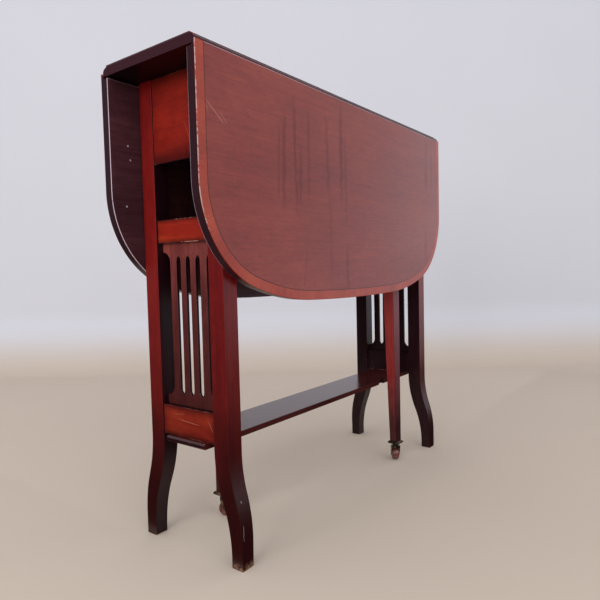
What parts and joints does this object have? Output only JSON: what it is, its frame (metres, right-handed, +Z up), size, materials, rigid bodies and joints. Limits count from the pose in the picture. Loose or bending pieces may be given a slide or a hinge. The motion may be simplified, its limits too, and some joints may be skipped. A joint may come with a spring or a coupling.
{
  "type": "drop leaf table",
  "caption": "Narrow mahogany drop leaf table: rule-jointed crossbanded leaves, pierced splat ends with outswept feet, flat stretcher and swing gate legs on casters.",
  "frame": {"origin": "on the floor, under the middle of the fixed top", "axes": "+X along the table, +Y across it towards the back leaf, +Z up; both leaves hang down at rest"},
  "size_m": [0.736, 0.203, 0.7],
  "materials": {
    "mahogany": "french polished, gloss",
    "crossbanding": "french polished, gloss",
    "stringing": "french polished, gloss",
    "inner_wood": "oiled, dull",
    "brass": "tarnished",
    "iron": "darkened",
    "steel": "dull",
    "wheel": "turned and polished hardwood"
  },
  "bodies": {
    "frame": {"top_board": "mahogany", "top_crossbanding": "crossbanding", "top_stringing": "stringing", "top_hinge_screws": "steel", "front_left_hinge_top_flap": "iron", "front_left_hinge_pin": "steel", "front_right_hinge_top_flap": "iron", "front_right_hinge_pin": "steel", "back_left_hinge_top_flap": "iron", "back_left_hinge_pin": "steel", "back_right_hinge_top_flap": "iron", "back_right_hinge_pin": "steel", "left_front_leg": "mahogany", "left_back_leg": "mahogany", "right_front_leg": "mahogany", "right_back_leg": "mahogany", "left_end_apron": "mahogany", "left_mid_rail": "mahogany", "left_splat": "mahogany", "left_lower_rail": "mahogany", "right_end_apron": "mahogany", "right_mid_rail": "mahogany", "right_splat": "mahogany", "right_lower_rail": "mahogany", "stretcher": "mahogany", "frame_screws": "steel", "spacer_blocks": "inner_wood", "front_inner_rail": "inner_wood", "front_fixed_rail": "inner_wood", "front_knuckle_pin": "steel", "back_inner_rail": "inner_wood", "back_fixed_rail": "inner_wood", "back_knuckle_pin": "steel"},
    "front_leaf_body": {"front_leaf": "mahogany", "front_leaf_crossbanding": "crossbanding", "front_leaf_stringing": "stringing", "front_leaf_stop": "inner_wood", "front_leaf_hinge_screws": "steel", "front_left_hinge_leaf_flap": "iron", "front_right_hinge_leaf_flap": "iron"},
    "back_leaf_body": {"back_leaf": "mahogany", "back_leaf_crossbanding": "crossbanding", "back_leaf_stringing": "stringing", "back_leaf_stop": "inner_wood", "back_leaf_hinge_screws": "steel", "back_left_hinge_leaf_flap": "iron", "back_right_hinge_leaf_flap": "iron"},
    "front_gate": {"front_fly_rail": "inner_wood", "front_gate_leg": "mahogany", "front_caster_plate": "brass"},
    "front_caster": {"front_caster_horn": "brass", "front_caster_axle": "steel"},
    "front_wheel": {"front_caster_wheel": "wheel"},
    "back_gate": {"back_fly_rail": "inner_wood", "back_gate_leg": "mahogany", "back_caster_plate": "brass"},
    "back_caster": {"back_caster_horn": "brass", "back_caster_axle": "steel"},
    "back_wheel": {"back_caster_wheel": "wheel"}
  },
  "joints": [
    {"name": "front_leaf_hinge", "type": "hinge", "parent": "frame", "child": "front_leaf_body", "pos_m": [0, -0.087, 0.6895], "axis": [-1, 0, 0], "range_deg": [0, 90]},
    {"name": "back_leaf_hinge", "type": "hinge", "parent": "frame", "child": "back_leaf_body", "pos_m": [0, 0.087, 0.6895], "axis": [1, 0, 0], "range_deg": [0, 90]},
    {"name": "front_gate_swing", "type": "hinge", "parent": "frame", "child": "front_gate", "pos_m": [-0.008, -0.0375, 0.6355], "axis": [0, 0, -1], "range_deg": [-7.79, 0]},
    {"name": "front_caster_swivel", "type": "hinge", "parent": "front_gate", "child": "front_caster", "pos_m": [0.1861, -0.07212, 0.04], "axis": [0, 0, 1], "continuous": true},
    {"name": "front_wheel_spin", "type": "hinge", "parent": "front_caster", "child": "front_wheel", "pos_m": [0.18969, -0.06941, 0.0125], "axis": [-0.6018, 0.7986, 0], "continuous": true},
    {"name": "back_gate_swing", "type": "hinge", "parent": "frame", "child": "back_gate", "pos_m": [-0.008, 0.0375, 0.6355], "axis": [0, 0, -1], "range_deg": [0, 7.79]},
    {"name": "back_caster_swivel", "type": "hinge", "parent": "back_gate", "child": "back_caster", "pos_m": [-0.205, 0.0455, 0.04], "axis": [0, 0, 1], "continuous": true},
    {"name": "back_wheel_spin", "type": "hinge", "parent": "back_caster", "child": "back_wheel", "pos_m": [-0.20229, 0.04191, 0.0125], "axis": [0.7986, 0.6018, 0], "continuous": true}
  ]
}
